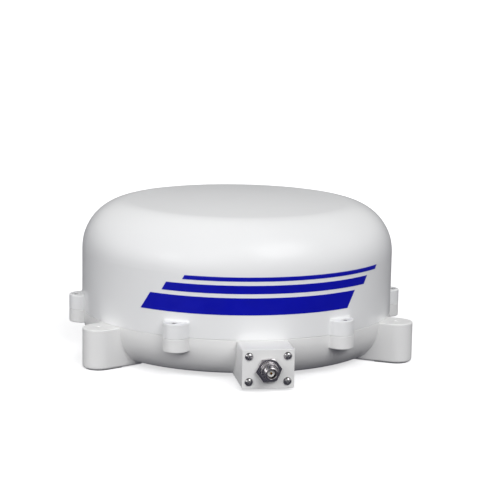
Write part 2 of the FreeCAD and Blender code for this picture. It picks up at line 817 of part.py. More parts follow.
def build_connector():
    """The cover plate and the coaxial bulkhead jack. Distances run forwards, along -Y."""
    face = S.box_face
    plate_back = face - S.plate_thickness
    gasket_front = plate_back + S.plate_gasket
    gasket_width = as_size(1.6)
    half = S.box_width / 2
    middle = plate_middle()

    def outline(sketch):
        draw_rectangle(sketch, -half, S.box_bottom, half, S.box_top)

    def screw_holes(sketch):
        for x in (-S.plate_screw_x, S.plate_screw_x):
            for z in (-S.plate_screw_z, S.plate_screw_z):
                draw_circle(sketch, x, middle + z, 1.9)

    def jack_hole(sketch):
        draw_circle(sketch, 0, S.jack_height, S.jack_mounting_thread + 0.05)

    def window(wider):
        room = S.box_room_half + wider
        wall = S.box_wall - wider
        return lambda sketch: draw_rectangle(sketch, -room, S.box_bottom + wall, room,
                                             S.box_top - wall)

    cover = plate("connector_plate", "XZ_Plane", plate_back, face, outline)
    pocket(cover, "XZ_Plane", plate_back, face, screw_holes)
    pocket(cover, "XZ_Plane", plate_back, face, jack_hole)
    soften(cover, 0.8, plate_corner_edge)
    soften(cover, 0.5, plate_front_edge)
    pocket(cover, "XZ_Plane", plate_back, gasket_front, window(gasket_width + 0.1))
    gasket = plate("plate_gasket", "XZ_Plane", plate_back, gasket_front, window(gasket_width))
    pocket(gasket, "XZ_Plane", plate_back, gasket_front, window(as_size(0)))

    screw = screw_master("plate_screw", 1.75, 10.5, S.plate_screw_head, 2.2, "cross")
    places = []
    for x in (-1, 1):
        for z in (-1, 1):
            spot_x = x * float(S.plate_screw_x)
            spot_z = float(middle) + z * float(S.plate_screw_z)
            places.append(at(spot_x, -face, spot_z, FACING_FRONT))
    repeat("plate_screws", screw, places)

    # the jack's own parts are turned about the vertical axis, then laid down
    thread = S.jack_mounting_thread
    mating = S.jack_thread
    bore = as_size(4.0)
    reach = S.jack_reach
    bore_floor = as_size(3.5)
    nut_low = as_size(0.9)
    nut_high = as_size(4.6)
    collar_high = as_size(8.5)
    thread_end = as_size(8.2)
    mating_start = as_size(9.1)
    relief = mating - 0.5
    lead_in = as_size(0.8)
    rear = -(S.plate_thickness + 10.0)
    flange = -(S.plate_thickness + 3.0)
    seal_back = -S.plate_thickness - 0.8
    jack_parts = []
    body = make_body("jack_body")
    revolve(body, [(2.15, rear), (4.0, rear), (4.0, flange - 1), (8.4, flange - 1),
                   (8.4, seal_back), (thread, seal_back), (thread, thread_end),
                   (relief, thread_end), (relief, mating_start), (mating, mating_start),
                   (mating, reach - lead_in), (mating - lead_in, reach), (bore, reach),
                   (bore, bore_floor), (2.15, bore_floor)])
    jack_parts.append(body)
    jack_parts.append(ring("jack_seal", thread + 0.05, 8.0, seal_back, -S.plate_thickness))
    jack_parts.append(ring("jack_washer", thread + 0.05, 8.9, 0, nut_low))
    nut = make_body("jack_nut")

    def hexagon(sketch):
        draw_polygon(sketch, 0, 0, S.jack_nut_flats / 2, 6)

    def nut_bore(sketch):
        draw_circle(sketch, 0, 0, thread + 0.03)

    pad(nut, "XY_Plane", nut_low, nut_high, hexagon)
    revolve(nut, [(6.5, nut_high - 0.5), (S.jack_collar, nut_high - 0.5),
                  (S.jack_collar, collar_high - 0.6), (S.jack_collar - 0.6, collar_high),
                  (6.5, collar_high)])
    pocket(nut, "XY_Plane", nut_low - 1, collar_high + 1, nut_bore)
    jack_parts.append(nut)
    core = make_body("jack_dielectric")
    core_front = reach - 4.0
    revolve(core, [(0.75, rear - 1), (2.1, rear - 1), (2.1, bore_floor), (2.9, bore_floor),
                   (2.9, core_front), (1.1, core_front), (1.1, bore_floor),
                   (0.75, bore_floor)])
    jack_parts.append(core)
    contact = make_body("jack_contact")
    contact_front = reach - 3.2
    socket_end = contact_front - 3.0
    revolve(contact, [(0, rear - 3), (0.7, rear - 3), (0.7, bore_floor), (1.05, bore_floor),
                      (1.05, contact_front), (0.5, contact_front), (0.5, socket_end),
                      (0, socket_end)])
    jack_parts.append(contact)
    doc.recompute()
    for part in jack_parts:
        turn = Rotation(UP, 36) if part is nut else Rotation()
        part.Placement = at(0, -face, S.jack_height, FACING_FRONT * turn)


def plate_front_edge(edge):
    """The outer outline of the cover plate's front face."""
    on_front = all(abs(p.y + DRIVING["box_face"]) < 0.01 for p in edge_samples(edge))
    near_side = max(abs(p.x) for p in edge_samples(edge)) > DRIVING["box_width"] / 2 - 1
    return on_front and near_side


def plate_corner_edge(edge):
    samples = edge_samples(edge)
    depth = abs(samples[0].y - samples[-1].y) > 1
    corner = abs(abs(samples[0].x) - DRIVING["box_width"] / 2) < 0.01
    return depth and corner


def build_wall_stripes():
    """Three plain stripes with slanted ends, stuck to the front of the radome's wall."""
    stripes = []
    for number, (low, high, left, right) in enumerate(
            [(57.5, 72.0, -98, 84), (75.5, 82.5, -82, 97), (86.0, 89.5, -66, 108)], start=1):
        body = make_body(f"stripe_{number}", keep=False)
        lean = (as_size(high) - low) * S.stripe_slant

        def outline(sketch):
            draw_outline(sketch, [(left, low), (right - lean, low), (right, high),
                                  (left + lean, high)])

        pad(body, "XZ_Plane", 70, S.dome_radius + 5, outline)
        skin = S.dome_radius + S.stripe_thickness
        groove(body, [(skin, low - 5), (220, low - 5), (220, high + 5), (skin, high + 5)])
        groove(body, [(0, low - 5), (S.dome_radius, low - 5), (S.dome_radius, high + 5),
                      (0, high + 5)])
        stripes.append(body)
    group = doc.addObject("Part::Compound", "wall_stripes")
    group.Label = "wall_stripes"
    group.Links = stripes
    nodes.append(group)


# --------------------------------------------------------------------------------------
# Gears
# --------------------------------------------------------------------------------------


def tooth_flank(module, teeth, backlash):
    """Half a tooth's outline as polar points from root to tip, for a 20 degree involute."""
    pitch = module * teeth / 2
    base = pitch * math.cos(math.radians(20))
    tip = pitch + module
    foot = pitch - 1.25 * module
    half_pitch = math.pi / (2 * teeth) - backlash / (2 * pitch) / 2
    at_pitch = math.sqrt((pitch / base) ** 2 - 1)
    lean = at_pitch - math.atan(at_pitch)
    start = max(base, foot + 0.05)
    points = []
    for share in (0.0, 0.5, 1.0):
        radius = start + (tip - start) * share
        roll = math.sqrt(max((radius / base) ** 2 - 1, 0.0))
        points.append((radius, half_pitch + lean - (roll - math.atan(roll))))
    return foot, points


def gear_face(module, teeth, backlash, first_angle, sector=None):
    """A toothed disc with a tooth centred on first_angle. With a sector, only the teeth
    between its two angles stand, and the rest is cut back to the root."""
    foot, flank = tooth_flank(module, teeth, backlash)
    step = 2 * math.pi / teeth

    def point(radius, angle):
        return Vector(radius * math.cos(angle), radius * math.sin(angle), 0)

    edges = []
    previous = None
    first = None
    for index in range(int(teeth)):
        angle = math.radians(first_angle) + index * step
        if sector:
            low, high = sector
            turn = math.degrees(angle)
            inside = (turn - low) % 360 <= (high - low)
            if not inside:
                continue
        rising = [point(radius, angle - half) for radius, half in flank]
        falling = [point(radius, angle + half) for radius, half in reversed(flank)]
        low_start = point(foot, angle - flank[0][1])
        low_end = point(foot, angle + flank[0][1])
        if previous is not None:
            edges.append(root_edge(previous, low_start, foot))
        else:
            first = low_start
        edges.append(Part.LineSegment(low_start, rising[0]).toShape())
        edges.append(Part.Arc(*rising).toShape())
        edges.append(Part.Arc(rising[-1], point(flank[-1][0], angle), falling[0]).toShape())
        edges.append(Part.Arc(*falling).toShape())
        edges.append(Part.LineSegment(falling[-1], low_end).toShape())
        previous = low_end
    edges.append(root_edge(previous, first, foot))
    return Part.Face(Part.Wire(edges))


def root_edge(start, end, radius):
    """The arc of the root circle from start, anticlockwise, to end."""
    begin = math.atan2(start.y, start.x)
    finish = math.atan2(end.y, end.x)
    if finish <= begin:
        finish += 2 * math.pi
    middle = (begin + finish) / 2
    between = Vector(radius * math.cos(middle), radius * math.sin(middle), 0)
    return Part.Arc(start, between, end).toShape()


def gear_solid(face, low, high, bore):
    """A gear of the given face, from low to high along Z, with a round bore."""
    solid = face.extrude(Vector(0, 0, high - low))
    solid.translate(Vector(0, 0, low))
    hole = Part.makeCylinder(bore, high - low + 2, Vector(0, 0, low - 1))
    return solid.cut(hole)


# --------------------------------------------------------------------------------------
# Turning gear
# --------------------------------------------------------------------------------------


def azimuth_centres():
    teeth = S.azimuth_gear_teeth + S.azimuth_pinion_teeth
    return S.gear_module * teeth / 2 + S.gear_spread


def build_azimuth_drive():
    low = S.chassis_bottom
    high = low + S.chassis_thickness
    centres = azimuth_centres()
    chassis = ring("chassis_plate", 11.0, S.chassis_radius, low, high)
    drill(chassis, low - 1, high + 1, S.chassis_post_circle, 1.7, 4, 45)
    drill(chassis, low - 1, high + 1, 20.0, 1.7, 4, 45)

    def motor_window(sketch):
        draw_circle(sketch, 0, centres, 11.05)
        for x in (-13, 13):
            for y in (-13, 13):
                draw_circle(sketch, x, centres + y, 1.6)
        draw_circle(sketch, -20, -88, 9)

    pocket(chassis, "XY_Plane", low - 1, high + 1, motor_window)
    screw = screw_master("chassis_screw", 1.45, 8.0, 2.8, 1.8)
    places = [spot(S.chassis_post_circle, 45 + 90 * turn, high) for turn in range(4)]
    repeat("chassis_screws", screw, places)

    spindle = make_body("azimuth_spindle")
    bearing_top = S.bearing_bottom + S.bearing_width
    shoulder = S.spindle_radius + 2
    groove_low = bearing_top + 0.1
    groove_high = groove_low + 1.1
    neck = S.spindle_radius - 0.7
    revolve(spindle, [(7.0, low - 3), (10.9, low - 3), (10.9, high), (24.0, high),
                      (24.0, high + 2), (shoulder, high + 2), (shoulder, S.bearing_bottom),
                      (S.spindle_radius, S.bearing_bottom), (S.spindle_radius, groove_low),
                      (neck, groove_low), (neck, groove_high),
                      (S.spindle_radius, groove_high), (S.spindle_radius, S.spindle_top),
                      (7.0, S.spindle_top)])
    drill(spindle, high - 1, high + 1.9, 20.0, 1.5, 4, 45)
    screw = screw_master("spindle_screw", 1.45, 3.8, 2.8, 1.6)
    places = [spot(20.0, 45 + 90 * turn, low, FACING_DOWN) for turn in range(4)]
    repeat("spindle_screws", screw, places)
    ring("spindle_circlip", neck + 0.05, S.spindle_radius + 1.9, groove_low, groove_high)

    bottom = S.bearing_bottom
    middle = bottom + S.bearing_width / 2
    ball = as_size(1.5)
    ball_circle = S.spindle_radius + 3.0
    inner = make_body("bearing_inner_ring")
    race_half = as_size(1.0)
    race = ball + 0.03
    lip = ball_circle - root(race * race - race_half * race_half)
    revolve(inner, [(S.spindle_radius, bottom), (lip, bottom), (lip, middle - race_half),
                    (lip, middle + race_half), (lip, bottom + S.bearing_width),
                    (S.spindle_radius, bottom + S.bearing_width)], {2: -race})
    outer = make_body("bearing_outer_ring")
    outer_lip = ball_circle + root(race * race - race_half * race_half)
    revolve(outer, [(S.bearing_outer, bottom), (S.bearing_outer, bottom + S.bearing_width),
                    (outer_lip, bottom + S.bearing_width), (outer_lip, middle + race_half),
                    (outer_lip, middle - race_half), (outer_lip, bottom)], {3: -race})
    ball_master = doc.addObject("Part::Sphere", "bearing_ball_master")
    ball_master.setExpression("Radius", ball.text)
    places = [spot(ball_circle, 360 / 24 * turn, middle) for turn in range(24)]
    repeat("bearing_balls", ball_master, places)

    motor = make_body("azimuth_motor")
    half = S.motor_side / 2
    motor_low = low - S.motor_length

    def motor_outline(sketch):
        cut = as_size(5.0)
        draw_outline(sketch, [
            (-half + cut, centres - half), (half - cut, centres - half),
            (half, centres - half + cut), (half, centres + half - cut),
            (half - cut, centres + half), (-half + cut, centres + half),
            (-half, centres + half - cut), (-half, centres - half + cut)])

    def motor_nose(sketch):
        draw_circle(sketch, 0, centres, 11.0)

    def motor_bore(sketch):
        draw_circle(sketch, 0, centres, S.motor_shaft + S.running_gap)

    def motor_holes(sketch):
        for x in (-13, 13):
            for y in (-13, 13):
                draw_circle(sketch, x, centres + y, 1.5)

    pad(motor, "XY_Plane", motor_low, low, motor_outline)
    pad(motor, "XY_Plane", low - 1, high, motor_nose)
    pocket(motor, "XY_Plane", motor_low + 2, high + 1, motor_bore)
    pocket(motor, "XY_Plane", low - 5, low + 0.5, motor_holes)
    screw = screw_master("azimuth_motor_screw", 1.45, 5.5, 2.6, 1.5)
    places = []
    for x in (-13, 13):
        for y in (-13, 13):
            places.append(at(x, float(centres) + y, high, Rotation()))
    repeat("azimuth_motor_screws", screw, places)

    shaft = make_body("azimuth_motor_shaft")
    shaft_top = S.turntable_bottom - 0.5

    def shaft_outline(sketch):
        draw_circle(sketch, 0, centres, S.motor_shaft)

    pad(shaft, "XY_Plane", motor_low + 2.4, shaft_top, shaft_outline)

    module = DRIVING["gear_module"]
    backlash = DRIVING["gear_backlash"]
    wheel_face = gear_face(module, DRIVING["azimuth_gear_teeth"], backlash, 90.0)
    gear_low = float(S.azimuth_gear_bottom)
    wheel = gear_solid(wheel_face, gear_low, float(S.turntable_bottom),
                       float(S.azimuth_gear_bore))
    for turn in range(6):
        hole = Part.makeCylinder(1.5, 6, Vector(54 * math.cos(math.radians(60 * turn)),
                                                54 * math.sin(math.radians(60 * turn)), 29))
        wheel = wheel.cut(hole)
    node_feature("azimuth_gear", wheel)
    pinion_teeth = DRIVING["azimuth_pinion_teeth"]
    pinion_face = gear_face(module, pinion_teeth, backlash, 270.0 + 180.0 / pinion_teeth)
    pinion = gear_solid(pinion_face, gear_low - 0.3, float(shaft_top),
                        float(S.motor_shaft))
    node_feature("azimuth_pinion", pinion)
    nodes[-1].Placement = at(0, centres, 0)

    sensor = make_body("home_sensor")

    def sensor_outline(sketch):
        centred(sketch, as_size(-88), 0, as_size(5), as_size(6))

    def sensor_slot(sketch):
        centred(sketch, as_size(-88), 0, as_size(1.7), as_size(7))

    pad(sensor, "XY_Plane", high, S.turntable_bottom - 1.2, sensor_outline)
    pocket(sensor, "XY_Plane", high + 2, S.turntable_bottom, sensor_slot)


def build_turntable():
    low = S.turntable_bottom
    high = S.turntable_top
    bearing_top = S.bearing_bottom + S.bearing_width
    table = make_body("turntable")
    revolve(table, [(S.bearing_outer, S.bearing_bottom + 0.1), (26.0, S.bearing_bottom + 0.1),
                    (26.0, low), (S.turntable_radius, low), (S.turntable_radius, high),
                    (19.5, high), (19.5, bearing_top), (S.bearing_outer, bearing_top)])
    drill(table, low - 1, high + 1, 54.0, 1.7, 6, 0)
    for angle in (235, 270, 305):
        drill(table, low - 1, high + 1, 78.0, 9.0, 1, angle)

    def foot_holes(sketch):
        for x in (-85, 85):
            for y in (-14, 14):
                draw_circle(sketch, x, y, 1.5)

    pocket(table, "XY_Plane", low - 1, high + 1, foot_holes)
    screw = screw_master("gear_screw", 1.45, 6.5, 2.8, 1.8)
    repeat("gear_screws", screw, [spot(54.0, 60 * turn, high) for turn in range(6)])

    def flag_outline(sketch):
        centred(sketch, as_size(-88), 0, as_size(0.5), as_size(4))

    plate("home_flag", "XY_Plane", low - 4, low, flag_outline)

    stator = make_body("rotary_joint_stator")
    stator_low = S.chassis_bottom - 5
    revolve(stator, [(2.6, stator_low + 2), (6.9, stator_low + 2), (6.9, S.spindle_top - 1),
                     (2.6, S.spindle_top - 1)])
    rotor = make_body("rotary_joint_rotor")
    cap = S.spindle_top + 0.6
    revolve(rotor, [(0, S.spindle_top - 8), (2.5, S.spindle_top - 8), (2.5, cap),
                    (20.0, cap), (20.0, high), (27.0, high), (27.0, cap + 2),
                    (0, cap + 2)])


# --------------------------------------------------------------------------------------
# Tilting antenna
# --------------------------------------------------------------------------------------


def tilt_offset():
    """How far the tilt motor's shaft lies behind and below the tilt axis."""
    teeth = S.sector_teeth + S.tilt_pinion_teeth
    centres = S.tilt_module * teeth / 2 + S.gear_spread
    return centres * math.cos(math.radians(45))


def build_brackets():
    inside = S.bracket_inside
    outside = inside + S.bracket_thickness
    base = S.turntable_top
    axis = S.tilt_height
    offset = tilt_offset()
    bush = S.trunnion_radius + 2.0

    def right_side(sketch):
        corners = [(-20, base), (45, base), (45, 76), (12, axis + 12), (-12, axis + 12)]
        corners.append((-20, axis - 30))
        draw_outline(sketch, corners)

    def left_side(sketch):
        corners = [(-20, base), (20, base), (20, axis - 30), (12, axis + 12)]
        corners += [(-12, axis + 12), (-20, axis - 30)]
        draw_outline(sketch, corners)

    def axle_hole(sketch):
        draw_circle(sketch, 0, axis, bush)

    def motor_holes(sketch):
        draw_circle(sketch, offset, axis - offset, 8.0)
        for y in (-9.5, 9.5):
            for z in (-9.5, 9.5):
                draw_circle(sketch, offset + y, axis - offset + z, 1.4)

    def foot(side):
        def draw(sketch):
            low_x = inside - 12 if side > 0 else -inside
            high_x = inside if side > 0 else 12 - inside
            draw_rectangle(sketch, low_x, -20, high_x, 20)
        return draw

    def foot_holes(side):
        def draw(sketch):
            for y in (-14, 14):
                draw_circle(sketch, side * 85, y, 1.7)
        return draw

    right = plate("right_bracket", "YZ_Plane", inside, outside, right_side)
    pad(right, "XY_Plane", base, base + 2.5, foot(1))
    pocket(right, "YZ_Plane", inside - 1, outside + 1, axle_hole)
    pocket(right, "YZ_Plane", inside - 1, outside + 1, motor_holes)
    pocket(right, "XY_Plane", base - 1, base + 3, foot_holes(1))
    left = plate("left_bracket", "YZ_Plane", -outside, -inside, left_side)
    pad(left, "XY_Plane", base, base + 2.5, foot(-1))
    pocket(left, "YZ_Plane", -outside - 1, 1 - inside, axle_hole)
    pocket(left, "XY_Plane", base - 1, base + 3, foot_holes(-1))
    screw = screw_master("bracket_screw", 1.45, 5.3, 2.8, 1.8)
    places = []
    for x in (-85, 85):
        for y in (-14, 14):
            places.append(at(x, y, base + 2.5))
    repeat("bracket_screws", screw, places)

    bushing = make_body("trunnion_bushing_master", keep=False)
    bore = S.trunnion_radius + S.running_gap
    length = S.bracket_thickness
    revolve(bushing, [(bore, -0.8), (bush + 1.5, -0.8), (bush + 1.5, 0), (bush, 0),
                      (bush, length), (bore, length)])
    repeat("trunnion_bushings", bushing, [at(inside, 0, axis, FACING_RIGHT),
                                          at(-inside, 0, axis, FACING_LEFT)])

    motor = make_body("elevation_motor")
    half = S.tilt_motor_side / 2
    rear = inside - S.tilt_motor_length
    shaft = as_size(2.0)

    def body_outline(sketch):
        cut = as_size(3.0)
        y = offset
        z = axis - offset
        draw_outline(sketch, [
            (y - half + cut, z - half), (y + half - cut, z - half),
            (y + half, z - half + cut), (y + half, z + half - cut),
            (y + half - cut, z + half), (y - half + cut, z + half),
            (y - half, z + half - cut), (y - half, z - half + cut)])

    def nose(sketch):
        draw_circle(sketch, offset, axis - offset, 7.9)

    def bore_hole(sketch):
        draw_circle(sketch, offset, axis - offset, shaft + S.running_gap)

    def threads(sketch):
        for y in (-9.5, 9.5):
            for z in (-9.5, 9.5):
                draw_circle(sketch, offset + y, axis - offset + z, 1.25)

    pad(motor, "YZ_Plane", rear, inside, body_outline)
    pad(motor, "YZ_Plane", inside - 1, outside - 1, nose)
    pocket(motor, "YZ_Plane", rear + 4, outside, bore_hole)
    pocket(motor, "YZ_Plane", inside - 5, inside + 0.5, threads)
    screw = screw_master("elevation_motor_screw", 1.2, 7.0, 2.0, 1.3)
    places = []
    for y in (-9.5, 9.5):
        for z in (-9.5, 9.5):
            places.append(at(outside, offset + y, axis - offset + z, FACING_RIGHT))
    repeat("elevation_motor_screws", screw, places)

    axle = make_body("elevation_motor_shaft")

    def axle_outline(sketch):
        draw_circle(sketch, offset, axis - offset, shaft)

    pad(axle, "YZ_Plane", rear + 4.4, outside + 6, axle_outline)

    gear_low = float(outside + 2)
    gear_high = float(outside + 5)
    backlash = DRIVING["gear_backlash"]
    teeth = DRIVING["tilt_pinion_teeth"]
    # in the gear's own plane X is the object's Y and Y is the object's Z
    pinion_face = gear_face(1.0, teeth, backlash, 135.0 + 180.0 / teeth)
    pinion = gear_solid(pinion_face, gear_low - 0.5, gear_high + 0.5, float(shaft))
    node_feature("elevation_pinion", pinion)
    lie = Rotation(Vector(1, 1, 1), 120)
    nodes[-1].Placement = at(0, offset, axis - offset, lie)
    sector_face = gear_face(1.0, DRIVING["sector_teeth"], backlash, -45.0, (-64.0, 58.5))
    sector = gear_solid(sector_face, gear_low, gear_high, DRIVING["trunnion_radius"])
    keep_angle = Part.makeCylinder(60, 10, Vector(0, 0, gear_low - 2), UP, 128)
    keep_angle.rotate(Vector(), UP, -66.5)
    hub = Part.makeCylinder(9.0, 10, Vector(0, 0, gear_low - 2))
    window = Part.makeCylinder(22.0, 10, Vector(0, 0, gear_low - 2), UP, 84)
    window.rotate(Vector(), UP, -45)
    window = window.cut(Part.makeCylinder(12.0, 12, Vector(0, 0, gear_low - 3)))
    sector = sector.common(keep_angle.fuse(hub)).cut(window)
    node_feature("sector_gear", sector)
    nodes[-1].Placement = at(0, 0, axis, lie)


def build_panel():
    axis = S.tilt_height
    half_x = S.panel_half_length
    half_z = S.panel_half_height
    back = -S.panel_back
    plate_front = back + S.panel_plate
    foam_front = plate_front + S.foam_thickness
    board_front = foam_front + S.board_thickness

    def outline(sketch):
        centred(sketch, ZERO, axis, half_x, half_z)

    def screw_holes(sketch):
        for x in (-75, 75):
            for z in (-9, 9):
                draw_circle(sketch, x, axis + z, 1.5)

    rear_plate = plate("panel_plate", "XZ_Plane", back, plate_front, outline)
    pocket(rear_plate, "XZ_Plane", back - 1, plate_front + 1, screw_holes)
    plate("foam_spacer", "XZ_Plane", plate_front, foam_front, outline)
    plate("patch_board", "XZ_Plane", foam_front, board_front, outline)
    patch = make_body("patch_master", keep=False)
    size = as_size(33.0)
    trim = as_size(5.0)

    def patch_outline(sketch):
        draw_outline(sketch, [(-size + trim, -size), (size, -size), (size, size - trim),
                              (size - trim, size), (-size, size), (-size, -size + trim)])

    pad(patch, "XZ_Plane", 0, S.patch_thickness, patch_outline)
    repeat("patch_elements", patch, [at(x, -board_front, axis) for x in (-42, 42)])

    for side, label, tip in ((1, "right_trunnion", 101.2), (-1, "left_trunnion", 97.0)):
        body = make_body(label)
        cheek = half_x + 2

        def cheek_outline(sketch):
            draw_rectangle(sketch, -4, axis - 14, -back, axis + 14)

        def shaft_outline(sketch):
            draw_circle(sketch, 0, axis, S.trunnion_radius)

        def shoulder_outline(sketch):
            draw_circle(sketch, 0, axis, S.trunnion_radius + 2.5)

        def flange_outline(sketch):
            low_x = 66 if side > 0 else -cheek
            high_x = cheek if side > 0 else -66
            draw_rectangle(sketch, low_x, axis - 14, high_x, axis + 14)

        def flange_holes(sketch):
            for z in (-9, 9):
                draw_circle(sketch, side * 75, axis + z, 1.7)

        def span(low, high):
            return (low, high) if side > 0 else (-high, -low)

        pad(body, "YZ_Plane", *span(half_x, cheek), cheek_outline)
        pad(body, "XZ_Plane", back - 2, back, flange_outline)
        pad(body, "YZ_Plane", *span(half_x + 1, half_x + 5.6), shoulder_outline)
        pad(body, "YZ_Plane", *span(half_x + 1, as_size(tip)), shaft_outline)
        pocket(body, "XZ_Plane", back - 3, back + 1, flange_holes)
    screw = screw_master("trunnion_screw", 1.45, 3.9, 2.8, 1.8)
    places = []
    for x in (-75, 75):
        for z in (-9, 9):
            places.append(at(x, 2 - back, axis + z, FACING_BACK))
    repeat("trunnion_screws", screw, places)

    module = make_body("rf_module")

    def module_outline(sketch):
        centred(sketch, ZERO, axis, as_size(40), as_size(25))

    def rib_outline(sketch):
        for x in range(-30, 31, 12):
            centred(sketch, as_size(x), axis, as_size(1.5), as_size(23))

    pad(module, "XZ_Plane", back - 9, back, module_outline)
    pad(module, "XZ_Plane", back - 12, back - 9, rib_outline)


# --------------------------------------------------------------------------------------
# Electronics and leads
# --------------------------------------------------------------------------------------


def build_electronics():
    floor = S.bowl_bottom + S.bowl_wall + 0.4
    low = S.board_bottom
    high = low + S.board_thickness

    def outline(sketch):
        draw_rectangle(sketch, -S.board_half_width, S.board_front, S.board_half_width,
                       S.board_back)

    def corner_holes(sketch):
        for x, y in board_corners():
            draw_circle(sketch, x, y, 1.6)

    board = plate("main_board", "XY_Plane", low, high, outline)
    pocket(board, "XY_Plane", low - 1, high + 1, corner_holes)
    post = make_body("board_standoff_master", keep=False)

    def hexagon(sketch):
        draw_polygon(sketch, 0, 0, 2.6, 6)

    def bore(sketch):
        draw_circle(sketch, 0, 0, 1.5)

    pad(post, "XY_Plane", 0, low - floor, hexagon)
    pocket(post, "XY_Plane", -1, low - floor + 1, bore)
    corners = list(board_corners())
    repeat("board_standoffs", post, [at(x, y, floor) for x, y in corners])
    screw = screw_master("board_screw", 1.45, 6.5, 2.8, 1.8)
    repeat("board_screws", screw, [at(x, y, high) for x, y in corners])

    shield = make_body("board_shield")

    def shield_outline(sketch):
        draw_rectangle(sketch, -52, -62, -8, -20)

    pad(shield, "XY_Plane", high, high + 5.5, shield_outline)

    def shield_room(sketch):
        draw_rectangle(sketch, -51.5, -61.5, -8.5, -20.5)

    pocket(shield, "XY_Plane", high - 1, high + 5, shield_room)
    chip_sizes = [(22, -40, 9, 9, 1.6), (42, -50, 6, 5, 1.4), (40, -24, 7, 4, 2.2),
                  (20, -16, 5, 5, 1.2), (4, -72, 5, 3, 4.0), (-30, -40, 8, 8, 1.4),
                  (30, -70, 10, 5, 5.5), (-22, 4, 12, 4, 3.0)]
    chips = []
    for number, (x, y, half_x, half_y, tall) in enumerate(chip_sizes, start=1):
        chip = doc.addObject("Part::Box", f"chip_{number}")
        chip.Length = 2 * half_x
        chip.Width = 2 * half_y
        chip.Height = tall
        chip.Placement = at(x - half_x, y - half_y, high)
        chips.append(chip)
    group = doc.addObject("Part::Compound", "board_chips")
    group.Label = "board_chips"
    group.Links = chips
    nodes.append(group)


def lead(label, points, radius):
    """A lead of straight runs joined by the largest tangent arcs that its runs allow."""
    points = [Vector(*map(float, point)) for point in points]
    edges = []
    start = points[0]
    for before, corner, after in zip(points, points[1:], points[2:]):
        arrive = (corner - before).normalize()
        leave = (after - corner).normalize()
        turn = arrive.getAngle(leave)
        run = 0.45 * min((corner - before).Length, (after - corner).Length)
        arc_radius = run / math.tan(turn / 2)
        arc_start = corner - arrive * run
        arc_end = corner + leave * run
        bisector = (leave - arrive).normalize()
        middle = corner + bisector * (arc_radius / math.cos(turn / 2) - arc_radius)
        edges.append(Part.LineSegment(start, arc_start).toShape())
        edges.append(Part.Arc(arc_start, middle, arc_end).toShape())
        print(f"{label}: arc radius {arc_radius:.1f}, {arc_radius / (2 * radius):.1f} diameters")
        start = arc_end
    edges.append(Part.LineSegment(start, points[-1]).toShape())
    length = sum(edge.Length for edge in edges)
    path = Part.Wire(edges)
    heading = (points[1] - points[0]).normalize()
    section = Part.Wire([Part.Circle(points[0], heading, radius).toShape()])
    tube = path.makePipeShell([section], True, False)
    expected = math.pi * radius * radius * length
    if abs(tube.Volume - expected) > 0.01 * expected:
        raise RuntimeError(f"{label} has the wrong volume")
    node_feature(label, tube)


def build_leads():
    """The lead from the jack's contact to the socket on the front of the board."""
    socket = float(S.board_bottom + S.board_thickness) + 2.2
    jack_rear = -float(S.box_face - S.plate_thickness - 13.0)
    height = float(S.jack_height)
    lead("jack_lead", [(0, jack_rear, height), (0, -138, height), (2, -126, height + 1),
                       (6, -112, 19.5), (6, -98, 19.0), (5, -90, 17.2),
                       (4, -83, socket), (4, -75, socket)], 1.25)


build_radome()
build_base()
build_shell_fittings()
build_connector()
build_wall_stripes()
build_azimuth_drive()
build_turntable()
build_brackets()
build_panel()
build_electronics()
build_leads()

doc.recompute()
for item in doc.Objects:
    if "Invalid" in item.State or "Error" in item.State:
        raise RuntimeError(f"{item.Label} failed: {item.State}")
os.makedirs("parts", exist_ok=True)
for node in nodes:
    shape = node.Shape
    if shape.isNull() or not shape.isValid():
        raise RuntimeError(f"{node.Label} has no valid shape")
    shape.exportStep(f"parts/{node.Label}.step")
print(len(nodes), "nodes")
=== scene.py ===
"""The looks of a low-profile dome antenna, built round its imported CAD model.

Metres, +Z up, the jack faces -Y. The CAD nodes keep their shapes and get procedural
materials, and small machined details that CAD keeps plain are replaced by finer meshes.
"""

import json
import math

import bmesh
import bpy
from mathutils import Matrix, Vector


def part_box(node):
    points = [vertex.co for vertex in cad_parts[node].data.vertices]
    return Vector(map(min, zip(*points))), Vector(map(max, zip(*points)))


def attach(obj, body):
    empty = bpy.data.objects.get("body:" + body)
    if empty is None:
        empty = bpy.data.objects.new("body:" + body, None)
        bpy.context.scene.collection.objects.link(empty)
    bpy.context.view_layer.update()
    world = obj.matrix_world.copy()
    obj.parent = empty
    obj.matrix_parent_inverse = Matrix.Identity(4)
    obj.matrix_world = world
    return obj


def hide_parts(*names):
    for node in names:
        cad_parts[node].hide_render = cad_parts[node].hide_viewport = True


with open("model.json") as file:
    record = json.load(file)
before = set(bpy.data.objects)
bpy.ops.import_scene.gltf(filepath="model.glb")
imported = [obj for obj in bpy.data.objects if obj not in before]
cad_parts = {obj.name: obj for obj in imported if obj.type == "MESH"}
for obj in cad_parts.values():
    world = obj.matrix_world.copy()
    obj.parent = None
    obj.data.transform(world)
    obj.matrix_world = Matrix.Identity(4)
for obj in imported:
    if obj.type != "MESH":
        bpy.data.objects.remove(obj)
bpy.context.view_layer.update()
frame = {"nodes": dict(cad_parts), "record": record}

# where a noise texture's values mostly lie, and how far a roughness strays from its mean
NOISE_RANGE = (0.3, 0.7)
ROUGHNESS_SPREAD = 0.15
OPAQUE = 1.0

# --------------------------------------------------------------------------------------
# Materials
# --------------------------------------------------------------------------------------


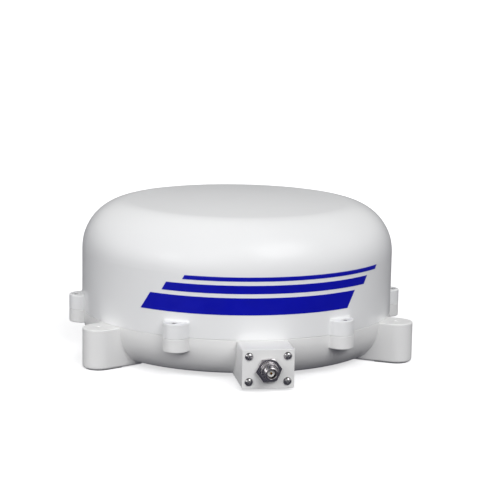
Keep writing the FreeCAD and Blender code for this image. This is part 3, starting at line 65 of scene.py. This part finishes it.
class Nodes:
    """A new node material with its Principled shader, and short ways to add to it."""

    def __init__(self, name, colour, roughness, metallic=0.0, **sockets):
        self.material = bpy.data.materials.new(name)
        self.material.use_nodes = True
        self.tree = self.material.node_tree
        self.shader = self.tree.nodes["Principled BSDF"]
        self.set("Base Color", (*colour, OPAQUE))
        self.set("Roughness", roughness)
        self.set("Metallic", metallic)
        for socket, value in sockets.items():
            self.set(socket.replace("_", " "), value)
        self.place = self.node("ShaderNodeTexCoord").outputs["Object"]

    def set(self, socket, value):
        self.shader.inputs[socket].default_value = value

    def node(self, kind, **inputs):
        made = self.tree.nodes.new(kind)
        for socket, value in inputs.items():
            self.join(value, made.inputs[socket.replace("_", " ")])
        return made

    def join(self, value, target):
        if isinstance(value, bpy.types.NodeSocket):
            self.tree.links.new(value, target)
        else:
            target.default_value = value

    def noise(self, scale, detail=3.0, stretch=None):
        place = self.place
        if stretch:
            place = self.node("ShaderNodeMapping", Vector=place, Scale=stretch).outputs[0]
        made = self.node("ShaderNodeTexNoise", Vector=place, Scale=scale, Detail=detail)
        return made.outputs["Fac"]

    def between(self, factor, low, high):
        """A number that runs from low to high as factor runs through NOISE_RANGE."""
        made = self.node("ShaderNodeMapRange", Value=factor)
        for socket, value in zip(("From Min", "From Max", "To Min", "To Max"),
                                 (*NOISE_RANGE, low, high)):
            made.inputs[socket].default_value = value
        return made.outputs[0]

    def blend(self, factor, first, second):
        made = self.tree.nodes.new("ShaderNodeMix")
        made.data_type = "RGBA"
        self.join(factor, made.inputs["Factor"])
        self.join((*first, OPAQUE), made.inputs["A"])
        self.join((*second, OPAQUE), made.inputs["B"])
        return made.outputs["Result"]

    def vary_colour(self, factor, first, second):
        self.join(self.blend(factor, first, second), self.shader.inputs["Base Color"])

    def cloud(self, scale, colour, share):
        """Soft clouds of this noise scale between colour and a share of it."""
        factor = self.between(self.noise(scale), 0.0, 1.0)
        self.vary_colour(factor, colour, scaled(colour, share))

    def vary_roughness(self, factor, low, high):
        self.join(self.between(factor, low, high), self.shader.inputs["Roughness"])

    def bump(self, height, strength, distance):
        made = self.node("ShaderNodeBump", Height=height, Strength=strength,
                         Distance=distance)
        self.join(made.outputs[0], self.shader.inputs["Normal"])


def scaled(colour, share):
    return tuple(channel * share for channel in colour)


def gelcoat():
    """White gloss gelcoat: a faint orange peel under a clear coat."""
    white = (0.83, 0.835, 0.84)
    made = Nodes("radome_gelcoat", white, 0.32, Coat_Weight=0.35, Coat_Roughness=0.1)
    made.cloud(9.0, white, 0.985)
    made.vary_roughness(made.noise(60.0), 0.3, 0.36)
    made.bump(made.noise(300.0, 1.0), strength=0.03, distance=0.0002)
    return made.material


def powder_coat():
    """The casting's white powder coat: satin, with a fine pebbled grain."""
    white = (0.8, 0.8, 0.795)
    made = Nodes("base_powder_coat", white, 0.4, Coat_Weight=0.1, Coat_Roughness=0.25)
    made.cloud(14.0, white, 0.97)
    made.vary_roughness(made.noise(90.0), 0.34, 0.46)
    made.bump(made.noise(900.0, 2.0), strength=0.1, distance=0.0003)
    return made.material


def metal(name, colour, roughness, grain=(1, 1, 30), scale=500.0, depth=0.08):
    """A metal with smudges and fine tool marks. grain says how many times finer the
    marks are along each axis."""
    made = Nodes(name, colour, roughness, metallic=1.0)
    marks = made.noise(scale, 2.0, grain)
    made.vary_roughness(marks, roughness * (1 - ROUGHNESS_SPREAD),
                        roughness * (1 + ROUGHNESS_SPREAD))
    made.cloud(120.0, colour, 0.86)
    made.bump(marks, strength=depth, distance=0.0002)
    return made.material


def plastic(name, colour, roughness, grain=600.0, depth=0.12, variation=0.92):
    """A moulded plastic, rubber or printed film with a fine grain."""
    made = Nodes(name, colour, roughness)
    made.cloud(70.0, colour, variation)
    made.vary_roughness(made.noise(150.0), roughness * (1 - ROUGHNESS_SPREAD),
                        min(1.0, roughness * (1 + ROUGHNESS_SPREAD)))
    made.bump(made.noise(grain, 2.0), strength=depth, distance=0.0002)
    return made.material


def circuit_board():
    """Green solder mask with fine raised tracks."""
    green, track_green = (0.012, 0.12, 0.045), (0.03, 0.2, 0.08)
    made = Nodes("solder_mask", green, 0.32, Coat_Weight=0.2)
    tracks = made.node("ShaderNodeTexBrick", Vector=made.place, Scale=180.0,
                       Mortar_Size=0.08).outputs["Fac"]
    made.vary_colour(tracks, green, track_green)
    made.bump(tracks, strength=0.3, distance=0.0001)
    return made.material


def make_materials():
    """The finish for each of the record's material slots."""
    return {
        "radome_white": gelcoat(),
        "base_white": powder_coat(),
        "seal_rubber": plastic("seal_rubber", (0.02, 0.02, 0.022), 0.7),
        # near-black foot pads: partly real rubber pads, partly painted shade, as they
        # draw a thin dark line along the feet's bottom edges where the feet meet the
        # floor
        "pad_rubber": plastic("pad_rubber", (0.015, 0.015, 0.02), 0.8),
        "stainless": metal("stainless", (0.8, 0.79, 0.8), 0.2),
        "steel": metal("ground_steel", (0.5, 0.5, 0.51), 0.34),
        "bearing_steel": metal("bearing_steel", (0.62, 0.62, 0.63), 0.12, depth=0.03),
        "brass": metal("machined_brass", (0.68, 0.48, 0.2), 0.22),
        "nickel": metal("nickel_plate", (0.84, 0.81, 0.83), 0.23, depth=0.03),
        "gold": metal("gold_plate", (0.86, 0.55, 0.18), 0.2, depth=0.03),
        "copper": metal("bare_copper", (0.72, 0.36, 0.2), 0.34),
        "ptfe": plastic("ptfe", (0.86, 0.86, 0.85), 0.45, variation=0.97),
        "aluminium": metal("anodised_aluminium", (0.62, 0.63, 0.65), 0.36, (1, 30, 1)),
        "rf_alloy": metal("cast_alloy", (0.42, 0.43, 0.45), 0.5, (1, 1, 1), 800.0, 0.3),
        "tin_plate": metal("tin_plate", (0.6, 0.6, 0.59), 0.34),
        "motor_black": plastic("motor_paint", (0.02, 0.02, 0.022), 0.4),
        "black_plastic": plastic("black_plastic", (0.02, 0.02, 0.02), 0.5),
        "chip_black": plastic("chip_resin", (0.03, 0.03, 0.032), 0.55),
        "board_green": circuit_board(),
        "decal_blue": plastic("decal_film", (0.001, 0.003, 0.4), 0.36, 300.0, 0.02),
        "gear_acetal": plastic("gear_acetal", (0.8, 0.79, 0.74), 0.35),
        "bushing_bronze": metal("sintered_bronze", (0.5, 0.33, 0.17), 0.45, (1, 1, 1)),
        "foam_white": plastic("foam", (0.8, 0.8, 0.78), 0.9, 350.0, 0.6),
        "lead_sheath": plastic("lead_sheath", (0.2, 0.1, 0.05), 0.35),
    }


def paint_nodes(materials):
    """Each CAD node gets the material of its slot."""
    for part in frame["record"]["subparts"]:
        mesh = frame["nodes"][part["node"]].data
        mesh.materials.clear()
        mesh.materials.append(materials[part["material_slot"]])


# --------------------------------------------------------------------------------------
# The jack's machined pieces. Their sizes are in millimetres: radii from the jack's axis,
# and distances in front of the cover plate's face.
# --------------------------------------------------------------------------------------

MM = 0.001
TURN = 2 * math.pi
POINTS_AROUND = 144
SHARP_ANGLE = math.radians(32)
EDGE_BEVEL = 0.12
LARGEST_BEVEL_SHARE = 0.45

THREAD_PITCH = 0.907
THREAD_DEPTH = 0.42
THREAD_FLAT = 0.125
ROWS_PER_TURN = 10
MOUNTING_THREAD_RADIUS = 6.0
MOUNTING_THREAD = (0.4, 8.2)
MATING_THREAD_RADIUS = 5.55
MATING_THREAD_START = 9.1
RELIEF_DEPTH = 0.5
LEAD_IN = 0.8
BORE_RADIUS = 4.0
BORE_FLOOR = 3.5
TAIL_RADIUS = 4.0
TAIL_BORE_RADIUS = 2.15
FLANGE_THICKNESS = 3.2

NUT_FLAT_RADIUS = 9.5
NUT_FIRST_CORNER = math.radians(6)
NUT_CHAMFER = math.tan(math.radians(30))
NUT_CHAMFER_ROWS = 10
NUT_BORE_RADIUS = 6.03
NUT_BACK = 0.9
NUT_FRONT = 4.6
COLLAR_RADIUS = 7.2
COLLAR_FRONT = 8.5


def jack_place():
    """The height of the jack's axis, and where the cover plate's face is along Y."""
    low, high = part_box("jack_nut")
    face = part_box("connector_plate")[0][1]
    return (low[2] + high[2]) / 2, face


def turned_mesh(name, rows):
    """A closed ring of rows round the jack's axis. A row is a function of the angle that
    gives a radius and a distance in front of the cover plate."""
    axis, face = jack_place()
    vertices = []
    for row in rows:
        for step in range(POINTS_AROUND):
            angle = TURN * step / POINTS_AROUND
            radius, ahead = row(angle)
            vertices.append((radius * math.cos(angle) * MM, face - ahead * MM,
                             axis + radius * math.sin(angle) * MM))
    faces = []
    for index in range(len(rows)):
        here = index * POINTS_AROUND
        there = (index + 1) % len(rows) * POINTS_AROUND
        for step in range(POINTS_AROUND):
            side = (step + 1) % POINTS_AROUND
            faces.append((here + step, here + side, there + side, there + step))
    mesh = bpy.data.meshes.new(name)
    mesh.from_pydata(vertices, [], faces)
    shape = bmesh.new()
    shape.from_mesh(mesh)
    bmesh.ops.recalc_face_normals(shape, faces=shape.faces)
    shape.to_mesh(mesh)
    shape.free()
    mesh.polygons.foreach_set("use_smooth", [True] * len(mesh.polygons))
    mesh.set_sharp_from_angle(angle=SHARP_ANGLE)
    return mesh


def add_jack_piece(name, rows, replaced, material):
    mesh = turned_mesh(name, rows)
    mesh.materials.append(material)
    piece = bpy.data.objects.new(name, mesh)
    bpy.context.scene.collection.objects.link(piece)
    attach(piece, "base")
    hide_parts(replaced)


def plain(radius, ahead):
    """A round row."""
    return lambda angle: (radius, ahead)


def bevelled(profile):
    """Round rows for a closed profile, two at each corner to bevel it lightly."""
    rows = []
    for index, corner in enumerate(profile):
        for end in (profile[index - 1], profile[(index + 1) % len(profile)]):
            share = min(EDGE_BEVEL / math.dist(corner, end), LARGEST_BEVEL_SHARE)
            rows.append(plain(corner[0] + (end[0] - corner[0]) * share,
                              corner[1] + (end[1] - corner[1]) * share))
    return rows


def threaded(radius, low, high):
    """Rows of a right-hand helical thread that fades out at both ends."""
    def row_at(ahead):
        fade = min(1.0, (ahead - low) / THREAD_PITCH, (high - ahead) / THREAD_PITCH)

        def row(angle):
            phase = (ahead / THREAD_PITCH - angle / TURN) % 1.0
            groove = abs(2 * phase - 1) * (1 + 2 * THREAD_FLAT) - THREAD_FLAT
            return radius - THREAD_DEPTH * fade * min(1.0, max(0.0, groove)), ahead

        return row

    count = int((high - low) / THREAD_PITCH * ROWS_PER_TURN)
    return [row_at(low + (high - low) * index / count) for index in range(count + 1)]


def make_jack_body(material):
    """The threaded coaxial barrel, with its rear flange and hollow tail."""
    axis, face = jack_place()
    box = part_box("jack_body")
    reach = (face - box[0][1]) / MM
    rear = (face - box[1][1]) / MM
    flange_radius = (box[1][2] - axis) / MM
    flange_front = (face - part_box("jack_seal")[1][1]) / MM
    flange_back = flange_front - FLANGE_THICKNESS
    relief_radius = MATING_THREAD_RADIUS - RELIEF_DEPTH
    lip_radius = MATING_THREAD_RADIUS - LEAD_IN
    rows = bevelled([(BORE_RADIUS, reach), (BORE_RADIUS, BORE_FLOOR),
                     (TAIL_BORE_RADIUS, BORE_FLOOR), (TAIL_BORE_RADIUS, rear),
                     (TAIL_RADIUS, rear), (TAIL_RADIUS, flange_back),
                     (flange_radius, flange_back), (flange_radius, flange_front),
                     (MOUNTING_THREAD_RADIUS, flange_front)])[1:]
    rows += threaded(MOUNTING_THREAD_RADIUS, *MOUNTING_THREAD)
    rows += [plain(relief_radius, MOUNTING_THREAD[1] + 0.2),
             plain(relief_radius, MATING_THREAD_START)]
    rows += threaded(MATING_THREAD_RADIUS, MATING_THREAD_START + 0.1, reach - LEAD_IN)
    rows += [plain(lip_radius, reach - 0.05), plain(lip_radius - EDGE_BEVEL, reach),
             plain(BORE_RADIUS + 0.15, reach)]
    add_jack_piece("threaded_jack_body", rows, "jack_body", material)


def make_jack_nut(material):
    """The hexagon nut with its corners chamfered on both sides, and its round collar."""
    corner_radius = NUT_FLAT_RADIUS / math.cos(TURN / 12)
    depth = (corner_radius - NUT_FLAT_RADIUS) * NUT_CHAMFER

    def hexagon(ahead, rise):
        """A row of the hexagon, cut to the chamfer's cone at rise above its foot."""
        def row(angle):
            offset = (angle - NUT_FIRST_CORNER) % (TURN / 6) - TURN / 12
            return min(NUT_FLAT_RADIUS / math.cos(offset),
                       NUT_FLAT_RADIUS + rise / NUT_CHAMFER), ahead
        return row

    rises = [depth * step / NUT_CHAMFER_ROWS for step in range(NUT_CHAMFER_ROWS + 1)]
    rows = [plain(NUT_BORE_RADIUS, NUT_BACK), plain(NUT_FLAT_RADIUS - 0.4, NUT_BACK)]
    rows += [hexagon(NUT_BACK + rise, rise) for rise in rises]
    rows += [hexagon(NUT_FRONT - rise, rise) for rise in reversed(rises)]
    rows += [plain(NUT_FLAT_RADIUS - 0.15, NUT_FRONT)]
    # the collar, from its foot over its rounded front edge into the bore
    rows += [plain(COLLAR_RADIUS + out, NUT_FRONT + ahead)
             for out, ahead in ((0.25, 0.0), (0.0, 0.2))]
    rows += [plain(COLLAR_RADIUS - inwards, COLLAR_FRONT - back)
             for inwards, back in ((0.0, 0.7), (0.15, 0.35), (0.4, 0.1), (0.7, 0.0))]
    rows += [plain(NUT_BORE_RADIUS + 0.2, COLLAR_FRONT),
             plain(NUT_BORE_RADIUS, COLLAR_FRONT - 0.2)]
    add_jack_piece("chamfered_jack_nut", rows, "jack_nut", material)


# --------------------------------------------------------------------------------------
# Stage
# --------------------------------------------------------------------------------------

CAMERA_PLACE = (-0.2395, -1.4713, 0.3584)
CAMERA_YAW = -9.34
CAMERA_PITCH = 80.03
CAMERA_ROLL = 0.98
CAMERA_LENS = 125.1
CAMERA_SENSOR = 36.0

FLOOR_SIZE = 80.0
FLOOR_COLOUR = (0.6, 0.6, 0.61)
FLOOR_GLOW = 0.6

# the studio's own light: the sine of the elevation, and the colour there
SKY = [
    (0.0, (0.06, 0.06, 0.075)),
    (0.35, (0.52, 0.52, 0.52)),
    (0.9, (0.06, 0.06, 0.06)),
]

# name, azimuth from the front towards +X, elevation, width of the source, strength, and
# whether it shows as a highlight
LIGHTS = [
    ("front", 15, 35, 30, 1.2, False),
    ("front_left", -30, 35, 30, 0.58, False),
    ("low_left", -45, 12, 30, 0.47, False),
    ("left", -75, 15, 30, 0.25, False),
    ("rear_left", -100, 15, 30, 0.38, False),
    ("rear_right", 100, 30, 30, 0.41, False),
    ("back", 180, 45, 30, 0.6, False),
    ("key", 31, 46, 36, 0.6, True),
    ("glint", -62, 21, 18, 0.13, True),
]


def make_camera():
    """The camera stands in front of the jack, a little to its left, and looks down."""
    camera = bpy.data.cameras.new("camera")
    camera.lens = CAMERA_LENS
    camera.sensor_width = CAMERA_SENSOR
    holder = bpy.data.objects.new("camera", camera)
    bpy.context.scene.collection.objects.link(holder)
    yaw = Matrix.Rotation(math.radians(CAMERA_YAW), 4, "Z")
    pitch = Matrix.Rotation(math.radians(CAMERA_PITCH), 4, "X")
    roll = Matrix.Rotation(math.radians(CAMERA_ROLL), 4, "Z")
    holder.matrix_world = Matrix.Translation(CAMERA_PLACE) @ yaw @ pitch @ roll
    bpy.context.scene.camera = holder


def make_light(name, azimuth, elevation, width, strength, shows):
    """A distant lamp. One that doesn't show stands for broad diffuse studio light."""
    lamp = bpy.data.lights.new(name, "SUN")
    lamp.angle = math.radians(width)
    lamp.energy = strength
    holder = bpy.data.objects.new(name, lamp)
    bpy.context.scene.collection.objects.link(holder)
    turn, rise = math.radians(azimuth), math.radians(elevation)
    towards = Vector((math.sin(turn) * math.cos(rise), -math.cos(turn) * math.cos(rise),
                      math.sin(rise)))
    holder.rotation_euler = towards.to_track_quat("Z", "Y").to_euler()
    holder.visible_glossy = shows


def make_world():
    """A dim studio with a pale band a little above the horizon."""
    world = bpy.data.worlds.new("studio")
    world.use_nodes = True
    tree = world.node_tree
    direction = tree.nodes.new("ShaderNodeTexCoord").outputs["Generated"]
    split = tree.nodes.new("ShaderNodeSeparateXYZ")
    tree.links.new(direction, split.inputs[0])
    ramp = tree.nodes.new("ShaderNodeValToRGB")
    tree.links.new(split.outputs["Z"], ramp.inputs["Fac"])
    stops = ramp.color_ramp.elements
    stops.new(0.5)
    for stop, (height, colour) in zip(stops, SKY):
        stop.position = height
        stop.color = (*colour, OPAQUE)
    tree.links.new(ramp.outputs["Color"], tree.nodes["Background"].inputs["Color"])
    bpy.context.scene.world = world


def make_floor():
    """A matt pale floor that glows a little, so it stays white round the object."""
    bpy.ops.mesh.primitive_plane_add(size=FLOOR_SIZE)
    floor = bpy.context.object
    floor.name = "floor"
    pale = Nodes("pale_floor", FLOOR_COLOUR, 1.0, Emission_Color=(1, 1, 1, OPAQUE),
                 Emission_Strength=FLOOR_GLOW, Specular_IOR_Level=0.0)
    floor.data.materials.append(pale.material)
    floor.visible_diffuse = False
    floor.visible_glossy = False


materials = make_materials()
paint_nodes(materials)
make_jack_body(materials["nickel"])
make_jack_nut(materials["nickel"])
make_camera()
make_floor()
make_world()
for light in LIGHTS:
    make_light(*light)
bpy.context.scene.view_settings.view_transform = "Standard"
